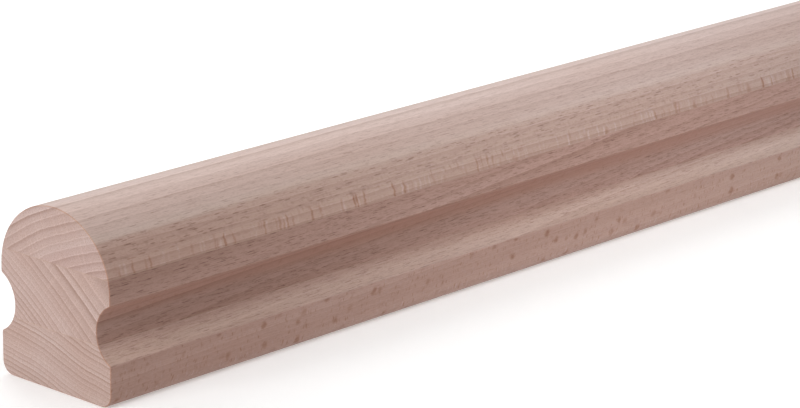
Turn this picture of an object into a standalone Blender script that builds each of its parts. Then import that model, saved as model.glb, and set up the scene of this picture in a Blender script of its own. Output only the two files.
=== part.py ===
"""Grab rail: a straight length of moulded beech rail, glued up from three lamellae.

Metres, +Z up. The rail runs along X and rests on its flat underside. The origin is the middle of
that underside. The section is a flat base, a hollow cove along each side for the fingertips, and a
domed grip on top.
"""

from math import acos, cos, pi, radians, sin

import bmesh
import bpy

# Whole rail
LENGTH = 0.600
WIDTH = 0.055
HEIGHT = 0.0655

# Base
BASE_SIDE_HEIGHT = 0.0155
BASE_CORNER_RADIUS = 0.0050
BASE_CORNER_STEPS = 8

# Coves
NECK_WIDTH = 0.0414
COVE_TOP_HEIGHT = 0.0365
COVE_STEPS = 24

# Domed grip
DOME_SPRING_HEIGHT = 0.0396
DOME_STEPS = 64

# Sanded arrises
ARRIS_WIDTH = 0.0007
ARRIS_SEGMENTS = 2
ARRIS_ANGLE = radians(30)

# Glue-up: each glue film lies at one of these heights, with a clearance to the wood on both sides
LOWER_GLUE_HEIGHT = 0.0215
UPPER_GLUE_HEIGHT = 0.0455
GLUE_THICKNESS = 0.0002
CLEARANCE = 0.0003

# Helpers of the mesh work
CUTTER_MARGIN = 0.010
WELD_DISTANCE = 1e-6
FLAT_ANGLE = radians(0.1)

# Colours of the wood and the glue, as linear red, green and blue
TOP_BEECH = (0.62, 0.45, 0.36)
MIDDLE_BEECH = (0.58, 0.40, 0.31)
BOTTOM_BEECH = (0.54, 0.36, 0.28)
WHITE_GLUE = (0.66, 0.52, 0.36)
WOOD_ROUGHNESS = 0.62
GLUE_ROUGHNESS = 0.40


def clear_scene():
    for obj in list(bpy.data.objects):
        bpy.data.objects.remove(obj, do_unlink=True)


def new_collection(name):
    collection = bpy.data.collections.new(name)
    bpy.context.scene.collection.children.link(collection)
    return collection


def new_material(name, colour, roughness):
    material = bpy.data.materials.new(name)
    material.use_nodes = True
    shader = material.node_tree.nodes["Principled BSDF"]
    shader.inputs["Base Color"].default_value = (*colour, 1.0)
    shader.inputs["Roughness"].default_value = roughness
    shader.inputs["Metallic"].default_value = 0.0
    material.diffuse_color = (*colour, 1.0)
    return material


def arc(centre, radii, start, end, steps):
    """Points of an elliptical arc, both ends included. Angles are from +Y towards +Z."""
    angles = [start + (end - start) * step / steps for step in range(steps + 1)]
    return [(centre[0] + radii[0] * cos(a), centre[1] + radii[1] * sin(a)) for a in angles]


def right_hand_outline():
    """Outline of the +Y half of the section, as (y, z), from the underside up to the crown."""
    half = WIDTH / 2
    corner_centre = (half - BASE_CORNER_RADIUS, BASE_CORNER_RADIUS)
    corner_radii = (BASE_CORNER_RADIUS, BASE_CORNER_RADIUS)
    corner = arc(corner_centre, corner_radii, -pi / 2, 0, BASE_CORNER_STEPS)

    # The cove is a circle through its two arrises and the neck.
    half_height = (COVE_TOP_HEIGHT - BASE_SIDE_HEIGHT) / 2
    depth = half - NECK_WIDTH / 2
    radius = (half_height**2 + depth**2) / (2 * depth)
    cove_centre = (NECK_WIDTH / 2 + radius, BASE_SIDE_HEIGHT + half_height)
    reach = acos((radius - depth) / radius)
    cove = arc(cove_centre, (radius, radius), pi + reach, pi - reach, COVE_STEPS)

    dome_radii = (half, HEIGHT - DOME_SPRING_HEIGHT)
    dome = arc((0, DOME_SPRING_HEIGHT), dome_radii, 0, pi / 2, DOME_STEPS // 2)
    return corner + cove + dome


def rail_outline():
    """The whole closed outline of the section, anticlockwise seen from +X."""
    right = right_hand_outline()
    left = [(-y, z) for y, z in reversed(right[:-1])]
    return right + left


def outline_curve(points):
    """A filled flat curve, drawn in its own XY plane and extruded to the rail's length."""
    curve = bpy.data.curves.new("rail_section", "CURVE")
    curve.dimensions = "2D"
    curve.fill_mode = "BOTH"
    curve.extrude = LENGTH / 2
    spline = curve.splines.new("POLY")
    spline.points.add(len(points) - 1)
    for point, (y, z) in zip(spline.points, points, strict=True):
        point.co = (y, z, 0, 1)
    spline.use_cyclic_u = True
    obj = bpy.data.objects.new("rail_section", curve)
    # Turns the curve's X, Y and Z onto the rail's Y, Z and X.
    obj.rotation_euler = (radians(90), 0, radians(90))
    bpy.context.scene.collection.objects.link(obj)
    return obj


def moulded_blank():
    """The mesh of the whole rail in world space, with each end one flat face."""
    curve_object = outline_curve(rail_outline())
    bpy.context.view_layer.update()
    graph = bpy.context.evaluated_depsgraph_get()
    mesh = bpy.data.meshes.new_from_object(curve_object.evaluated_get(graph))
    mesh.transform(curve_object.matrix_world)
    bpy.data.objects.remove(curve_object, do_unlink=True)

    work = bmesh.new()
    work.from_mesh(mesh)
    bmesh.ops.remove_doubles(work, verts=work.verts, dist=WELD_DISTANCE)
    bmesh.ops.dissolve_limit(work, angle_limit=FLAT_ANGLE, verts=work.verts, edges=work.edges)
    bmesh.ops.recalc_face_normals(work, faces=work.faces)
    work.to_mesh(mesh)
    work.free()
    mesh.name = "moulded_blank"
    return mesh


def slab_cutter(name, low, high, cutters):
    """A box that spans the rail's length and width between two heights."""
    mesh = bpy.data.meshes.new(name)
    work = bmesh.new()
    bmesh.ops.create_cube(work, size=1.0)
    size = (LENGTH + 2 * CUTTER_MARGIN, WIDTH + 2 * CUTTER_MARGIN, high - low)
    bmesh.ops.scale(work, vec=size, verts=work.verts)
    bmesh.ops.translate(work, vec=(0, 0, (low + high) / 2), verts=work.verts)
    work.to_mesh(mesh)
    work.free()
    cutter = bpy.data.objects.new(name, mesh)
    cutter.hide_render = True
    cutter.display_type = "WIRE"
    cutters.objects.link(cutter)
    return cutter


def rail_layer(name, blank, low, high, material, parts, cutters):
    """The layer of the rail between two heights, with its share of the moulded surface."""
    mesh = blank.copy()
    mesh.name = name
    mesh.materials.append(material)
    layer = bpy.data.objects.new(name, mesh)
    parts.objects.link(layer)

    arris = layer.modifiers.new("sanded_arrises", "BEVEL")
    arris.width = ARRIS_WIDTH
    arris.segments = ARRIS_SEGMENTS
    arris.limit_method = "ANGLE"
    arris.angle_limit = ARRIS_ANGLE

    cut = layer.modifiers.new("glue_face_cut", "BOOLEAN")
    cut.operation = "INTERSECT"
    cut.solver = "EXACT"
    cut.object = slab_cutter(name + "_cutter", low, high, cutters)

    mesh.shade_smooth()
    mesh.set_sharp_from_angle(angle=ARRIS_ANGLE)
    return layer


def main():
    clear_scene()
    parts = new_collection("grab_rail")
    cutters = new_collection("cutters")
    cutters.hide_render = True

    blank = moulded_blank()
    half_glue = GLUE_THICKNESS / 2
    wood_gap = half_glue + CLEARANCE
    below = -CUTTER_MARGIN
    above = HEIGHT + CUTTER_MARGIN

    layers = [
        ("bottom_lamella", below, LOWER_GLUE_HEIGHT - wood_gap, BOTTOM_BEECH, WOOD_ROUGHNESS),
        (
            "middle_lamella",
            LOWER_GLUE_HEIGHT + wood_gap,
            UPPER_GLUE_HEIGHT - wood_gap,
            MIDDLE_BEECH,
            WOOD_ROUGHNESS,
        ),
        ("top_lamella", UPPER_GLUE_HEIGHT + wood_gap, above, TOP_BEECH, WOOD_ROUGHNESS),
    ]
    for name, height in (
        ("lower_glue_line", LOWER_GLUE_HEIGHT),
        ("upper_glue_line", UPPER_GLUE_HEIGHT),
    ):
        layers.append((name, height - half_glue, height + half_glue, WHITE_GLUE, GLUE_ROUGHNESS))

    for name, low, high, colour, roughness in layers:
        material = new_material(name, colour, roughness)
        rail_layer(name, blank, low, high, material, parts, cutters)
    bpy.data.meshes.remove(blank)


main()
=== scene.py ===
"""The looks of the grab rail: raw beech, glued up from three lamellae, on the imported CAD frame."""

from dataclasses import dataclass
from math import acos, cos, hypot, pi, radians, sin

import bmesh
import bpy
from mathutils import Euler, Matrix, Vector


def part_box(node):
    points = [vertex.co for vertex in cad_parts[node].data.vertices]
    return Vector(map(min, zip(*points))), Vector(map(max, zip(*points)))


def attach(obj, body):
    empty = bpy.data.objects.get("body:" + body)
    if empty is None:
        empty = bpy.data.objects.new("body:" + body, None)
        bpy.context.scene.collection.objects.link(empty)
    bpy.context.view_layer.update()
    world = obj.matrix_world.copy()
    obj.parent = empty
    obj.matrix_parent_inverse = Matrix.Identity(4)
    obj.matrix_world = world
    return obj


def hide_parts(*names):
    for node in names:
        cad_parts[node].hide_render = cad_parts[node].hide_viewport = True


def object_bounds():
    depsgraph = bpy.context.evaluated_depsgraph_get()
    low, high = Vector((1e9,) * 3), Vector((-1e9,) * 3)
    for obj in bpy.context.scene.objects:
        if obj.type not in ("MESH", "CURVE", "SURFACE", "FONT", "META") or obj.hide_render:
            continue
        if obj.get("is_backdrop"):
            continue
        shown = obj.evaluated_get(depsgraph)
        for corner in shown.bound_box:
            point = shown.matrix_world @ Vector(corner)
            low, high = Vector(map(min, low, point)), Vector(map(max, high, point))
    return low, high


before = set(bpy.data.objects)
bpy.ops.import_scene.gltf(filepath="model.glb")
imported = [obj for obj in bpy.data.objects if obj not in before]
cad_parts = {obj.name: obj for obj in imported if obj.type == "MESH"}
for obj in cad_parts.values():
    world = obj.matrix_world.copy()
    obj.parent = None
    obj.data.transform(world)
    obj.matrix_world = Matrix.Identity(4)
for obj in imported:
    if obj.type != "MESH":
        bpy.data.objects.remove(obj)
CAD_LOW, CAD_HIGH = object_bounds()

MM = 0.001

# The rail, from the frame
LENGTH = CAD_HIGH.x - CAD_LOW.x
WIDTH = CAD_HIGH.y - CAD_LOW.y
HEIGHT = CAD_HIGH.z
NEAR_END = CAD_LOW.x

# The section, in metres, as the CAD has it
BASE_SIDE_HEIGHT = 0.0155
BASE_CORNER_RADIUS = 0.0050
NECK_WIDTH = 0.0414
COVE_TOP_HEIGHT = 0.0365
DOME_SPRING_HEIGHT = 0.0396
CORNER_STEPS = 12
COVE_STEPS = 40
DOME_STEPS = 120

# Cuts across the length, so that no face is long and thin
LENGTH_CUTS = 24

# Sanded arrises
ARRIS_WIDTH = 0.0006
ARRIS_SEGMENTS = 3
ARRIS_ANGLE = radians(40)
SMOOTH_ANGLE = radians(16)

# Glue films, and the gap to the wood on both sides
GLUE_HALF_THICKNESS = 0.00006
GLUE_GAP = 0.00001


# ---------------------------------------------------------------- shapes


def arc(centre, radii, start, end, steps):
    """Points of an elliptical arc, both ends included. Angles are from +Y towards +Z."""
    angles = [start + (end - start) * step / steps for step in range(steps + 1)]
    return [(centre[0] + radii[0] * cos(a), centre[1] + radii[1] * sin(a)) for a in angles]


def rail_outline():
    """The closed section as (y, z), anticlockwise seen from +X."""
    half = WIDTH / 2
    corner_centre = (half - BASE_CORNER_RADIUS, BASE_CORNER_RADIUS)
    corner_radii = (BASE_CORNER_RADIUS, BASE_CORNER_RADIUS)
    corner = arc(corner_centre, corner_radii, -pi / 2, 0, CORNER_STEPS)
    half_height = (COVE_TOP_HEIGHT - BASE_SIDE_HEIGHT) / 2
    depth = half - NECK_WIDTH / 2
    radius = (half_height**2 + depth**2) / (2 * depth)
    cove_centre = (NECK_WIDTH / 2 + radius, BASE_SIDE_HEIGHT + half_height)
    reach = acos((radius - depth) / radius)
    cove = arc(cove_centre, (radius, radius), pi + reach, pi - reach, COVE_STEPS)
    dome_radii = (half, HEIGHT - DOME_SPRING_HEIGHT)
    dome = arc((0, DOME_SPRING_HEIGHT), dome_radii, 0, pi / 2, DOME_STEPS // 2)
    right = corner + cove + dome
    left = [(-y, z) for y, z in reversed(right[:-1])]
    return right + left


def moulded_rail():
    """The whole rail as one solid in bmesh, with sanded arrises and cuts along its length."""
    rail = bmesh.new()
    near_face = rail.faces.new([rail.verts.new((NEAR_END, y, z)) for y, z in rail_outline()])
    far = bmesh.ops.extrude_face_region(rail, geom=[near_face])
    far_verts = [item for item in far["geom"] if isinstance(item, bmesh.types.BMVert)]
    bmesh.ops.translate(rail, vec=(LENGTH, 0, 0), verts=far_verts)
    bmesh.ops.recalc_face_normals(rail, faces=rail.faces)
    arrises = [edge for edge in rail.edges if edge.calc_face_angle(0) > ARRIS_ANGLE]
    bmesh.ops.bevel(
        rail,
        geom=arrises,
        offset=ARRIS_WIDTH,
        segments=ARRIS_SEGMENTS,
        profile=0.5,
        affect="EDGES",
    )
    for cut in range(1, LENGTH_CUTS):
        place = (NEAR_END + LENGTH * cut / LENGTH_CUTS, 0, 0)
        everything = rail.verts[:] + rail.edges[:] + rail.faces[:]
        bmesh.ops.bisect_plane(rail, geom=everything, plane_co=place, plane_no=(1, 0, 0))
    return rail


def trim(solid, height, normal_z):
    """Cuts away the side of a closed solid that normal_z points to, and closes the cut."""
    everything = solid.verts[:] + solid.edges[:] + solid.faces[:]
    cut = bmesh.ops.bisect_plane(
        solid,
        geom=everything,
        plane_co=(0, 0, height),
        plane_no=(0, 0, normal_z),
        clear_outer=True,
    )
    rim = [item for item in cut["geom_cut"] if isinstance(item, bmesh.types.BMEdge)]
    bmesh.ops.holes_fill(solid, edges=rim, sides=0)


def layer_piece(name, rail, low, high, material, node, slot):
    """The layer of the rail between two heights, as a piece that stands for a CAD node.

    A height of None leaves the rail's own underside or crown.
    """
    solid = rail.copy()
    if low is not None:
        trim(solid, low, -1)
    if high is not None:
        trim(solid, high, 1)
    bmesh.ops.recalc_face_normals(solid, faces=solid.faces)
    mesh = bpy.data.meshes.new(name)
    solid.to_mesh(mesh)
    solid.free()
    mesh.materials.append(material)
    mesh.shade_smooth()
    mesh.set_sharp_from_angle(angle=SMOOTH_ANGLE)
    piece = bpy.data.objects.new(name, mesh)
    bpy.context.scene.collection.objects.link(piece)
    normals = piece.modifiers.new("flat_faces_stay_flat", "WEIGHTED_NORMAL")
    normals.keep_sharp = True
    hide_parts(node)
    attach(piece, "root")


def glue_height(node):
    """The height of the middle of a glue line."""
    low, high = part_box(node)
    return (low.z + high.z) / 2


# ---------------------------------------------------------------- material building

# How many finer layers a noise has
COARSE = 1.0
MEDIUM = 2.0
FINE = 3.0

# The places of the colour sockets on a Mix node
MIX_FACTOR = 0
MIX_FIRST = 6
MIX_SECOND = 7
MIX_RESULT = 2


class Number:
    """A number in a node tree. Sums, products and functions of it become Math nodes."""

    def __init__(self, tree, socket):
        self.tree = tree
        self.socket = socket

    def function(self, operation, *others):
        """The result of a Math node's operation on this number and any others."""
        node = self.tree.nodes.new("ShaderNodeMath")
        node.operation = operation
        for entry, value in zip(node.inputs, (self, *others)):
            feed(self.tree, entry, value)
        return Number(self.tree, node.outputs[0])

    def __add__(self, other):
        return self.function("ADD", other)

    def __sub__(self, other):
        return self.function("SUBTRACT", other)

    def __mul__(self, other):
        return self.function("MULTIPLY", other)

    def __truediv__(self, other):
        return self.function("DIVIDE", other)

    def inverse(self):
        """One minus the number."""
        return self * -1 + 1

    def between(self, at_zero, at_one):
        """at_zero where the number is 0, at_one where it is 1, and in proportion in between."""
        return self * (at_one - at_zero) + at_zero

    def ease(self, low, high):
        """0 at low, 1 at high, smooth in between. high may be the lower of the two."""
        node = self.tree.nodes.new("ShaderNodeMapRange")
        node.interpolation_type = "SMOOTHSTEP"
        feed(self.tree, node.inputs["Value"], self)
        node.inputs["From Min"].default_value = min(low, high)
        node.inputs["From Max"].default_value = max(low, high)
        node.inputs["To Min"].default_value = 0 if low < high else 1
        node.inputs["To Max"].default_value = 1 if low < high else 0
        return Number(self.tree, node.outputs["Result"])


def feed(tree, entry, value):
    """Links a number or a socket into an input, or sets the input to a plain value."""
    if isinstance(value, Number):
        value = value.socket
    if isinstance(value, bpy.types.NodeSocket):
        tree.links.new(value, entry)
    else:
        entry.default_value = value


def split(tree, socket):
    """The three numbers of a vector or a colour."""
    node = tree.nodes.new("ShaderNodeSeparateXYZ")
    tree.links.new(socket, node.inputs[0])
    return [Number(tree, output) for output in node.outputs]


def join(tree, x, y, z):
    """A vector of three numbers."""
    node = tree.nodes.new("ShaderNodeCombineXYZ")
    for entry, value in zip(node.inputs, (x, y, z)):
        feed(tree, entry, value)
    return node.outputs[0]


def noise(tree, vector, detail=MEDIUM):
    """Three independent smooth noises, each from about -0.5 to 0.5."""
    node = tree.nodes.new("ShaderNodeTexNoise")
    tree.links.new(vector, node.inputs["Vector"])
    node.inputs["Scale"].default_value = 1.0
    node.inputs["Detail"].default_value = detail
    return [channel - 0.5 for channel in split(tree, node.outputs["Color"])]


def random_of(tree, number):
    """A value from 0 to 1 that is always the same for the same number."""
    node = tree.nodes.new("ShaderNodeTexWhiteNoise")
    node.noise_dimensions = "1D"
    feed(tree, node.inputs["W"], number)
    return Number(tree, node.outputs["Value"])


def cells(tree, vector):
    """Distance to the nearest of scattered points, and three random values of that point."""
    node = tree.nodes.new("ShaderNodeTexVoronoi")
    tree.links.new(vector, node.inputs["Vector"])
    node.inputs["Scale"].default_value = 1.0
    return Number(tree, node.outputs["Distance"]), split(tree, node.outputs["Color"])


def blend(tree, factor, first, second, mode="MIX"):
    """A colour mixed from two. Plain colours are given as three numbers."""
    node = tree.nodes.new("ShaderNodeMix")
    node.data_type = "RGBA"
    node.blend_type = mode
    feed(tree, node.inputs[MIX_FACTOR], factor)
    for place, value in ((MIX_FIRST, first), (MIX_SECOND, second)):
        feed(tree, node.inputs[place], (*value, 1) if isinstance(value, tuple) else value)
    return node.outputs[MIX_RESULT]


def tinted(tree, factor, colour, tint):
    """The colour times the tint, as far as the factor goes."""
    return blend(tree, factor, colour, tint, "MULTIPLY")


def new_material(name):
    """A new material, its node tree and its Principled shader."""
    material = bpy.data.materials.new(name)
    material.use_nodes = True
    return material, material.node_tree, material.node_tree.nodes["Principled BSDF"]


def bump(tree, surface, height, depth):
    """Raises the surface by height, where 1 stands for depth in metres."""
    node = tree.nodes.new("ShaderNodeBump")
    node.inputs["Distance"].default_value = depth
    feed(tree, node.inputs["Height"], height)
    tree.links.new(node.outputs["Normal"], surface.inputs["Normal"])


# ---------------------------------------------------------------- beech

# Multipliers of the wood's colour, as linear red, green and blue
LATEWOOD = (0.76, 0.70, 0.66)
EARLYWOOD = (1.10, 1.11, 1.12)
END_RAY = (1.12, 1.12, 1.12)
DARK_DASH = (0.70, 0.64, 0.61)
BROWN_FLECK = (0.82, 0.68, 0.59)
PALE_FLECK = (1.10, 1.17, 1.25)
ARRIS_BURNISH = (0.94, 0.82, 0.72)
DARK_FIBRE = (0.80, 0.74, 0.71)
INNER_WOOD = (0.85, 0.75, 0.72)
DARKER_RING = (0.93, 0.90, 0.88)
WARM_PATCH = (0.97, 0.93, 0.90)

# The bends of the grain, the longest first: length along the rail, length across and size, in mm
GRAIN_BENDS = ((260, 45, 3.2), (40, 12, 0.8), (7, 2.2, 0.36))

# Sizes of the smaller variations, along the grain and across it, in millimetres
PATCH_SIZE = (150, 22)
FIBRE_SIZE = (9, 0.45)
SPECK_SIZE = (1.3, 0.45)
RAGGED_SIZE = (1.6, 1.4)

# How a rippling board's rings wave along Y, in millimetres
RIPPLE_START = 3
RIPPLE_LENGTH = 44

# Growth rings: how uneven their widths are, in rings, over how many millimetres, and how faint
# the faintest is. The ramps are parts of a ring's width, counted outwards.
RING_UNEVENNESS = 1.6
RING_NOISE_SIZE = 13
WEAKEST_RING = 0.25
LATEWOOD_RISE = (0.25, 0.93)
LATEWOOD_DROP = (1.0, 0.94)
EARLYWOOD_FALL = (0.22, 0.02)
EARLYWOOD_ON_SIDE = 0.4

# The browner wood near the pith: half the width of its edge, its strength on end grain, and how
# it weakens over a stretch of the rail. Lengths are in millimetres.
INNER_EDGE = 1.2
INNER_ON_END = 0.4
INNER_FADE = (0, 150)
INNER_AFTER_FADE = 0.75

# Rays: how wide the steps in their random values are, how faint the faintest is, how ragged they
# are in cells, how far they wander along the rail in mm, and how flat-sawn dashes weaken over a
# stretch of the rail
PRESENT_RAMP = 0.02
BROWN_RAMP = 0.05
WEAKEST_RAY = 0.4
RAGGEDNESS = 0.3
WOBBLE_ALONG = 2
DASH_FADE = (150, 600)
DASH_AFTER_FADE = 0.75

# Which part of a noise makes fibres and specks, and how strong they are
FIBRE_RAMP = (-0.05, 0.25)
FIBRE_ON_RADIAL = 0.25
FIBRE_ON_FLAT = 0.6
SPECK_ON_SIDE = 0.35
SPECK_ON_END = 0.8

# Which part of a noise makes warm patches
PATCH_RAMP = (-0.25, 0.35)

# How far the surface's normal has turned towards X: from side to end grain, and on the sanded
# arris between them, where the burnish starts and stops
END_GRAIN = (0.55, 0.9)
ARRIS_START = (0.12, 0.4)
ARRIS_STOP = (0.95, 0.7)

# Finish: roughness and what adds to it, gloss, and how far marks stand out. A relief of 1 is as
# high as the depth, in metres.
WOOD_ROUGHNESS = 0.54
ROUGHNESS_OF_PATCHES = 0.12
ROUGHNESS_OF_MARKS = -0.08
ROUGHNESS_OF_PORES = 0.1
WOOD_SPECULAR = 0.4
LATEWOOD_RELIEF = -0.3
RAY_RELIEF = -0.5
FIBRE_RELIEF = 0.35
RELIEF_DEPTH = 0.00006


@dataclass
class Ray:
    """One size of medullary ray: lens-shaped sheets that run out from the pith.

    The cell is the spacing of the rays along the radius, around the ring and along the grain,
    in millimetres. The radius is a ray's half size as a share of the cell, and the core the part
    of that at full strength. The share is the part of the cells that hold a ray. On a radial face
    the brown share of the rays is browner than the wood, and the rest is paler. The last three
    say how strongly a ray shows on a flat-sawn face, on a radial face and on end grain.
    """

    cell: tuple
    radius: float
    core: float
    share: float
    brown_share: float
    on_flat: float
    on_radial: float
    on_end: float


FINE_RAY = Ray((14, 0.46, 1.9), 0.46, 0.3, 0.95, 0.5, on_flat=0.25, on_radial=0.4, on_end=0.8)
DASH_RAY = Ray((1.0, 0.31, 6.5), 0.34, 0.5, 0.9, 0.6, on_flat=1.15, on_radial=0.1, on_end=0.3)
LONG_DASH_RAY = Ray((1.2, 0.34, 11), 0.32, 0.5, 0.8, 0.6, on_flat=1.1, on_radial=0.1, on_end=0.3)
BAR_RAY = Ray((34, 0.80, 1.6), 0.50, 0.25, 1.0, 0.42, on_flat=0.0, on_radial=1.3, on_end=0.2)
BROAD_RAY = Ray((30, 1.20, 5.5), 0.36, 0.2, 1.0, 0.6, on_flat=0.0, on_radial=1.2, on_end=0.1)
MOTTLE_RAY = Ray((6, 0.60, 0.9), 0.46, 0.2, 1.0, 0.4, on_flat=0.2, on_radial=1.35, on_end=0.8)
BLOTCH_RAY = Ray((9, 2.40, 6.5), 0.30, 0.2, 0.9, 1.0, on_flat=0.0, on_radial=1.7, on_end=0.0)


@dataclass
class Board:
    """How one lamella was sawn and how it looks. Lengths are in millimetres.

    The pith is the middle of the tree, at y and z outside the board, and the drift how far it
    moves for each millimetre along the rail. The ring is a growth ring's width, the widening how
    fast the rings widen outwards, and the ripple the height of their waves. The middle is the
    height of the board's own middle, and distances outwards count from the ring through it:
    within brown_inside the wood is browner. The lean is how far the rays lean along the rail.
    ring_on_side and dashes say how strongly rings and flat-sawn rays show on the long sides.

    How squarely the surface faces the pith runs from 0 on a radial face to 1 on a flat-sawn one.
    Over radial_to_flat the ray pattern changes from flecks to dashes, and over tint_range the flat
    tint comes in: partly the tone of flat-sawn faces, and partly painted light that brightens the
    faces turned that way, most of all the bottom board's upward-facing cove. near_colour and
    far_colour are the side's colours at the rail's two ends.
    """

    pith: tuple
    drift: tuple
    ring: float
    widening: float
    ripple: float
    ring_on_side: float
    lean: float
    dashes: float
    brown_inside: float
    radial_to_flat: tuple
    rays: tuple
    near_colour: tuple
    far_colour: tuple
    flat_tone_and_painted_light: tuple
    tint_range: tuple
    end_colour: tuple
    middle: float
    seed: float


TOP_BOARD = Board(
    pith=(-70, -104),
    drift=(0.004, 0.002),
    ring=3.0,
    widening=0.0,
    ripple=0.0,
    ring_on_side=0.6,
    lean=0.0,
    dashes=0.6,
    brown_inside=-6.1,
    radial_to_flat=(0.10, 0.24),
    rays=(FINE_RAY, DASH_RAY, BAR_RAY, BROAD_RAY),
    near_colour=(0.596, 0.481, 0.430),
    far_colour=(0.544, 0.448, 0.415),
    flat_tone_and_painted_light=(1.051, 1.044, 1.079),
    tint_range=(0.42, 0.62),
    end_colour=(0.457, 0.358, 0.333),
    middle=55.5,
    seed=3.0,
)
MIDDLE_BOARD = Board(
    pith=(211, -246),
    drift=(-0.039, 0.04),
    ring=2.7,
    widening=0.0053,
    ripple=0.0,
    ring_on_side=0.6,
    lean=0.1,
    dashes=1.15,
    brown_inside=-40.0,
    radial_to_flat=(0.12, 0.55),
    rays=(FINE_RAY, DASH_RAY, LONG_DASH_RAY),
    near_colour=(0.426, 0.260, 0.211),
    far_colour=(0.466, 0.300, 0.258),
    flat_tone_and_painted_light=(1.062, 1.169, 1.231),
    tint_range=(0.2, 0.6),
    end_colour=(0.451, 0.349, 0.320),
    middle=33.5,
    seed=17.0,
)
BOTTOM_BOARD = Board(
    pith=(173, -771),
    drift=(0.0, 0.03),
    ring=1.7,
    widening=0.0,
    ripple=0.5,
    ring_on_side=0.12,
    lean=0.2,
    dashes=1.0,
    brown_inside=-40.0,
    radial_to_flat=(0.12, 0.55),
    rays=(MOTTLE_RAY, DASH_RAY, BLOTCH_RAY),
    near_colour=(0.472, 0.323, 0.278),
    far_colour=(0.484, 0.356, 0.315),
    # Painted light on the upward-facing lower cove, with the paler tone of its flat-sawn face
    flat_tone_and_painted_light=(1.270, 1.444, 1.489),
    tint_range=(0.5, 1.0),
    end_colour=(0.455, 0.354, 0.324),
    middle=10.7,
    seed=41.0,
)


class Grain:
    """Where a point of the surface lies in its board's wood, as numbers in a node tree."""

    def __init__(self, tree, board):
        self.tree = tree
        self.board = board
        coordinates = tree.nodes.new("ShaderNodeTexCoord")
        x, self.y, self.z = [value / MM for value in split(tree, coordinates.outputs["Object"])]
        self.x = x - NEAR_END / MM
        self.find_pith()
        self.find_cut()

    def space(self, along, across):
        """The place on the rail in units of along and across millimetres."""
        along_rail = self.x / along + self.board.seed
        return join(self.tree, along_rail, self.y / across, self.z / across)

    def find_pith(self):
        """How far the point is from the pith, and where around it, with the grain's bends."""
        board = self.board
        self.straight_y = self.y - self.x * board.drift[0] - board.pith[0]
        self.straight_z = self.z - self.x * board.drift[1] - board.pith[1]
        away_y, away_z = self.straight_y, self.straight_z
        for along, across, size in GRAIN_BENDS:
            shift_y, shift_z, self.wobble = noise(self.tree, self.space(along, across))
            away_y = away_y + shift_y * size
            away_z = away_z + shift_z * size

        # Where the rings ripple, the rays stay square to them.
        turn = (self.y + RIPPLE_START) * (2 * pi / RIPPLE_LENGTH)
        slope = turn.function("COSINE") * (board.ripple * 2 * pi / RIPPLE_LENGTH)
        away_z = away_z - turn.function("SINE") * board.ripple
        away_y = away_y + (self.z - board.middle) * slope
        self.radius = (away_y * away_y + away_z * away_z).function("SQRT")
        self.outward = self.radius - hypot(board.pith[0], board.pith[1] - board.middle)
        self.around = self.straight_y.function("ARCTAN2", self.straight_z) * hypot(*board.pith)

    def find_cut(self):
        """How the surface cuts the wood: across the end, or along it, flat or radial."""
        geometry = self.tree.nodes.new("ShaderNodeNewGeometry")
        normal_x, normal_y, normal_z = split(self.tree, geometry.outputs["Normal"])
        self.slant = normal_x.function("ABSOLUTE")
        self.end = self.slant.ease(*END_GRAIN)
        towards_pith = normal_y * self.straight_y + normal_z * self.straight_z
        self.facing = (towards_pith / self.radius).function("ABSOLUTE")
        self.flat_sawn = self.facing.ease(*self.board.radial_to_flat)


def growth_ring(grain):
    """Strengths of latewood and earlywood, and a random tone for each ring.

    A ring darkens slowly towards its latewood, and then steps back sharply.
    """
    tree, board, outward = grain.tree, grain.board, grain.outward
    bend = join(tree, grain.radius / RING_NOISE_SIZE, board.seed, 0)
    uneven, _, _ = noise(tree, bend, COARSE)
    count = outward / board.ring - outward * outward * board.widening + uneven * RING_UNEVENNESS
    place = count.function("FRACT")
    ring = count.function("FLOOR")
    strength = random_of(tree, ring).between(WEAKEST_RING, 1)
    tone = random_of(tree, ring + 0.5)
    rise = place.ease(*LATEWOOD_RISE)
    latewood = rise * rise * place.ease(*LATEWOOD_DROP) * strength
    latewood = latewood * grain.end.between(board.ring_on_side, 1)
    earlywood = place.ease(*EARLYWOOD_FALL) * grain.end.between(EARLYWOOD_ON_SIDE, 1)
    return latewood, earlywood, tone


def inner_wood(grain):
    """How far a point is inside the browner wood near the pith."""
    edge = grain.board.brown_inside
    inside = grain.outward.ease(edge + INNER_EDGE, edge - INNER_EDGE)
    inside = inside * grain.end.between(1, INNER_ON_END)
    return inside * grain.x.ease(*INNER_FADE).between(1, INNER_AFTER_FADE)


def plain_colour(grain):
    """The wood's colour before rings, rays and fibres; the flat tint adds painted light."""
    tree, board = grain.tree, grain.board
    side = blend(tree, grain.x.ease(0, LENGTH / MM), board.near_colour, board.far_colour)
    # Partly the tone of flat-sawn faces, partly painted light that brightens faces turned that way
    side = tinted(tree, grain.facing.ease(*board.tint_range), side, board.flat_tone_and_painted_light)
    return blend(tree, grain.end, side, board.end_colour)


def ray_mask(grain, ray, inside, ragged):
    """Where rays of one size show, and which of them are brown."""
    tree, board, spacing = grain.tree, grain.board, ray.cell
    leaning = grain.x - grain.outward * board.lean + grain.wobble * WOBBLE_ALONG
    out = grain.radius / spacing[0] + board.seed
    place = join(tree, out, grain.around / spacing[1], leaning / spacing[2])
    distance, (present, brown, vigour) = cells(tree, place)
    distance = distance + ragged * RAGGEDNESS
    mask = distance.ease(ray.radius, ray.radius * ray.core)
    mask = mask * present.ease(1 - ray.share, 1 + PRESENT_RAMP - ray.share)
    on_flat = (inside + 1) * (ray.on_flat * board.dashes)
    on_flat = on_flat * grain.x.ease(*DASH_FADE).between(1, DASH_AFTER_FADE)
    shown = grain.flat_sawn.between(ray.on_radial, on_flat)
    shown = shown * grain.end.inverse() + grain.end * ray.on_end
    mask = mask * vigour.between(WEAKEST_RAY, 1) * shown
    return mask, brown.ease(1 - ray.brown_share, 1 + BROWN_RAMP - ray.brown_share)


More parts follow.
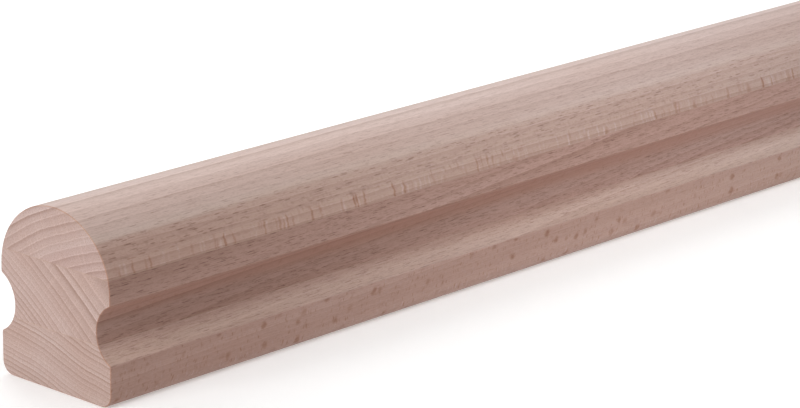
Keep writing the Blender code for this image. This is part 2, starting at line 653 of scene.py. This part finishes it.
def beech(name, board):
    """The raw beech of one board.

    Its rays are pale lines on the end, dark dashes on a flat-sawn face and flecks on a radial one.
    """
    material, tree, surface = new_material(name)
    grain = Grain(tree, board)
    warm, gloss, _ = noise(tree, grain.space(*PATCH_SIZE), FINE)
    fibre, pores, _ = noise(tree, grain.space(*FIBRE_SIZE), FINE)
    speck, _, _ = noise(tree, grain.space(*SPECK_SIZE), COARSE)
    ragged, _, _ = noise(tree, grain.space(*RAGGED_SIZE))
    latewood, earlywood, tone = growth_ring(grain)
    inside = inner_wood(grain)

    colour = plain_colour(grain)
    colour = tinted(tree, warm.ease(*PATCH_RAMP), colour, WARM_PATCH)
    colour = tinted(tree, tone, colour, DARKER_RING)
    colour = tinted(tree, inside, colour, INNER_WOOD)
    colour = tinted(tree, latewood, colour, LATEWOOD)
    colour = tinted(tree, earlywood, colour, EARLYWOOD)

    marks = latewood * LATEWOOD_RELIEF
    for ray in board.rays:
        mask, brown = ray_mask(grain, ray, inside, ragged)
        tint = blend(tree, brown, PALE_FLECK, BROWN_FLECK)
        tint = blend(tree, grain.flat_sawn, tint, DARK_DASH)
        tint = blend(tree, grain.end, tint, END_RAY)
        colour = tinted(tree, mask, colour, tint)
        marks = marks + mask * grain.end.between(RAY_RELIEF, 0)

    streak = fibre.ease(*FIBRE_RAMP) * grain.end.inverse()
    streak = streak * grain.flat_sawn.between(FIBRE_ON_RADIAL, FIBRE_ON_FLAT)
    colour = tinted(tree, streak, colour, DARK_FIBRE)
    specks = speck.ease(*FIBRE_RAMP) * grain.end.between(SPECK_ON_SIDE, SPECK_ON_END)
    colour = tinted(tree, specks, colour, DARK_FIBRE)
    arris = grain.slant.ease(*ARRIS_START) * grain.slant.ease(*ARRIS_STOP)
    colour = tinted(tree, arris, colour, ARRIS_BURNISH)

    roughness = gloss * ROUGHNESS_OF_PATCHES + marks * ROUGHNESS_OF_MARKS
    roughness = roughness + pores * ROUGHNESS_OF_PORES + WOOD_ROUGHNESS
    feed(tree, surface.inputs["Base Color"], colour)
    feed(tree, surface.inputs["Roughness"], roughness)
    surface.inputs["Specular IOR Level"].default_value = WOOD_SPECULAR
    bump(tree, surface, marks + fibre * FIBRE_RELIEF, RELIEF_DEPTH)
    return material


# ---------------------------------------------------------------- glue and floor

# Cured glue: two ambers, the size of its patches in mm, roughness and the depth of its unevenness
PALE_AMBER = (0.46, 0.33, 0.26)
DARK_AMBER = (0.38, 0.265, 0.20)
GLUE_PATCH_LENGTH = 14
GLUE_PATCH_WIDTH = 5
GLUE_RAMP = (-0.25, 0.3)
GLUE_ROUGHNESS = 0.42
GLUE_ROUGHNESS_CHANGE = 0.2
GLUE_RELIEF_DEPTH = 0.00003

FLOOR_COLOUR = (0.70, 0.70, 0.70, 1)
FLOOR_ROUGHNESS = 0.8
FLOOR_GLOW = 0.35


def cured_glue():
    """Wood glue squeezed flush with the wood: amber, slightly glossy, uneven along the joint."""
    material, tree, surface = new_material("cured_glue")
    coordinates = tree.nodes.new("ShaderNodeTexCoord")
    x, y, z = [value / MM for value in split(tree, coordinates.outputs["Object"])]
    along = x / GLUE_PATCH_LENGTH
    place = join(tree, along, y / GLUE_PATCH_WIDTH, z / GLUE_PATCH_WIDTH)
    patch, gloss, _ = noise(tree, place, FINE)
    colour = blend(tree, patch.ease(*GLUE_RAMP), PALE_AMBER, DARK_AMBER)
    feed(tree, surface.inputs["Base Color"], colour)
    feed(tree, surface.inputs["Roughness"], gloss * GLUE_ROUGHNESS_CHANGE + GLUE_ROUGHNESS)
    bump(tree, surface, patch, GLUE_RELIEF_DEPTH)
    return material


def paper():
    """The floor's material: pale, with a faint glow that softens the rail's shadow."""
    material, _, surface = new_material("floor")
    surface.inputs["Base Color"].default_value = FLOOR_COLOUR
    surface.inputs["Roughness"].default_value = FLOOR_ROUGHNESS
    surface.inputs["Emission Color"].default_value = (1, 1, 1, 1)
    surface.inputs["Emission Strength"].default_value = FLOOR_GLOW
    return material


# ---------------------------------------------------------------- pieces

rail = moulded_rail()
bottom_beech = beech("bottom_beech", BOTTOM_BOARD)
middle_beech = beech("middle_beech", MIDDLE_BOARD)
top_beech = beech("top_beech", TOP_BOARD)
glue = cured_glue()

lower = glue_height("lower_glue_line")
upper = glue_height("upper_glue_line")
wood_gap = GLUE_HALF_THICKNESS + GLUE_GAP
bottom = (None, lower - wood_gap)
middle = (lower + wood_gap, upper - wood_gap)
top = (upper + wood_gap, None)
for name, heights, material, node, slot in (
    ("bottom_board", bottom, bottom_beech, "bottom_lamella", "bottom_beech"),
    ("middle_board", middle, middle_beech, "middle_lamella", "middle_beech"),
    ("top_board", top, top_beech, "top_lamella", "top_beech"),
):
    layer_piece(name, rail, *heights, material, node, slot)
for name, height, node in (
    ("lower_glue_film", lower, "lower_glue_line"),
    ("upper_glue_film", upper, "upper_glue_line"),
):
    low, high = height - GLUE_HALF_THICKNESS, height + GLUE_HALF_THICKNESS
    layer_piece(name, rail, low, high, glue, node, "glue")
rail.free()


# ---------------------------------------------------------------- stage

# The camera's place from the middle of the near end's lower edge, in metres. It looks along the
# rail, turned from +X towards +Y by the heading, and down by the pitch.
CAMERA_FROM_NEAR_END = Vector((-0.71891, -0.81325, 0.39059))
CAMERA_HEADING = radians(42.369)
CAMERA_PITCH = radians(16.625)
CAMERA_ROLL = radians(0.819)
SENSOR_WIDTH = 36
LENS = 151.18

WORLD_STRENGTH = 0.1
DISPLAY_GAMMA = 0.85

# The floor's side, and how far it lies below the rail, in metres
FLOOR_SIZE = 8
FLOOR_GAP = 0.00005

# The spread of a softbox without a grid, in degrees
WIDE = 180

# Square softboxes: name, place, target and side in metres, power in watts and spread in degrees
SOFTBOXES = (
    ("left_key", (-1.6, 0.0, 0.7), (0, 0, 0), 1.0, 21.6, WIDE),
    ("back_top", (0.3, 0.6, 0.9), (0.1, 0, 0), 0.8, 4.2, WIDE),
    ("back_fill", (0.3, 1.2, 0.5), (0, 0, 0), 0.8, 3.0, WIDE),
    ("far_back", (1.2, 1.0, 0.9), (0, 0, 0), 1.0, 6.4, WIDE),
    ("front_fill", (0.5, -1.2, 1.2), (0.4, -0.4, 0), 0.8, 2.1, WIDE),
    ("near_front_high", (-0.2, -0.6, 1.2), (-0.2, 0, 0), 0.6, 3.3, WIDE),
    ("far_front_high", (0.9, -0.9, 1.3), (0.2, 0, 0), 0.6, 2.3, WIDE),
    ("front_grid", (0.0, -0.9, 0.3), (-0.02, 0, 0.03), 0.3, 0.071, 25),
    ("far_front_grid", (0.9, -0.3, 0.5), (0.1, 0, 0.03), 0.4, 0.19, 40),
)


def add_camera():
    """A camera that sees the rail at the photo's angle, through a long lens."""
    data = bpy.data.cameras.new("camera")
    data.sensor_width = SENSOR_WIDTH
    data.lens = LENS
    camera = bpy.data.objects.new("camera", data)
    level = Euler((pi / 2 - CAMERA_PITCH, 0, CAMERA_HEADING - pi / 2)).to_matrix()
    turned = level @ Matrix.Rotation(CAMERA_ROLL, 3, "Z")
    camera.rotation_euler = turned.to_euler()
    camera.location = Vector((NEAR_END, 0, CAD_LOW.z)) + CAMERA_FROM_NEAR_END
    bpy.context.scene.collection.objects.link(camera)
    bpy.context.scene.camera = camera


def add_softbox(name, place, target, side, power, spread):
    """A square area light that points at its target and that the camera doesn't see."""
    data = bpy.data.lights.new(name, "AREA")
    data.size = side
    data.energy = power
    data.spread = radians(spread)
    light = bpy.data.objects.new(name, data)
    light.location = place
    light.visible_camera = False
    light.rotation_euler = (Vector(target) - Vector(place)).to_track_quat("-Z", "Y").to_euler()
    bpy.context.scene.collection.objects.link(light)


def add_world():
    """A faint white light from all sides."""
    world = bpy.data.worlds.new("studio")
    world.use_nodes = True
    background = world.node_tree.nodes["Background"]
    background.inputs["Color"].default_value = (1, 1, 1, 1)
    background.inputs["Strength"].default_value = WORLD_STRENGTH
    bpy.context.scene.world = world


def add_floor():
    """A flat floor under the rail."""
    mesh = bpy.data.meshes.new("floor")
    sheet = bmesh.new()
    bmesh.ops.create_grid(sheet, x_segments=1, y_segments=1, size=FLOOR_SIZE / 2)
    sheet.to_mesh(mesh)
    sheet.free()
    floor = bpy.data.objects.new("floor", mesh)
    floor.location.z = CAD_LOW.z - FLOOR_GAP
    mesh.materials.append(paper())
    bpy.context.scene.collection.objects.link(floor)
    floor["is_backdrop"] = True


add_camera()
add_floor()
add_world()
for box in SOFTBOXES:
    add_softbox(*box)
bpy.context.scene.view_settings.view_transform = "Standard"
bpy.context.scene.view_settings.gamma = DISPLAY_GAMMA

low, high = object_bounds()
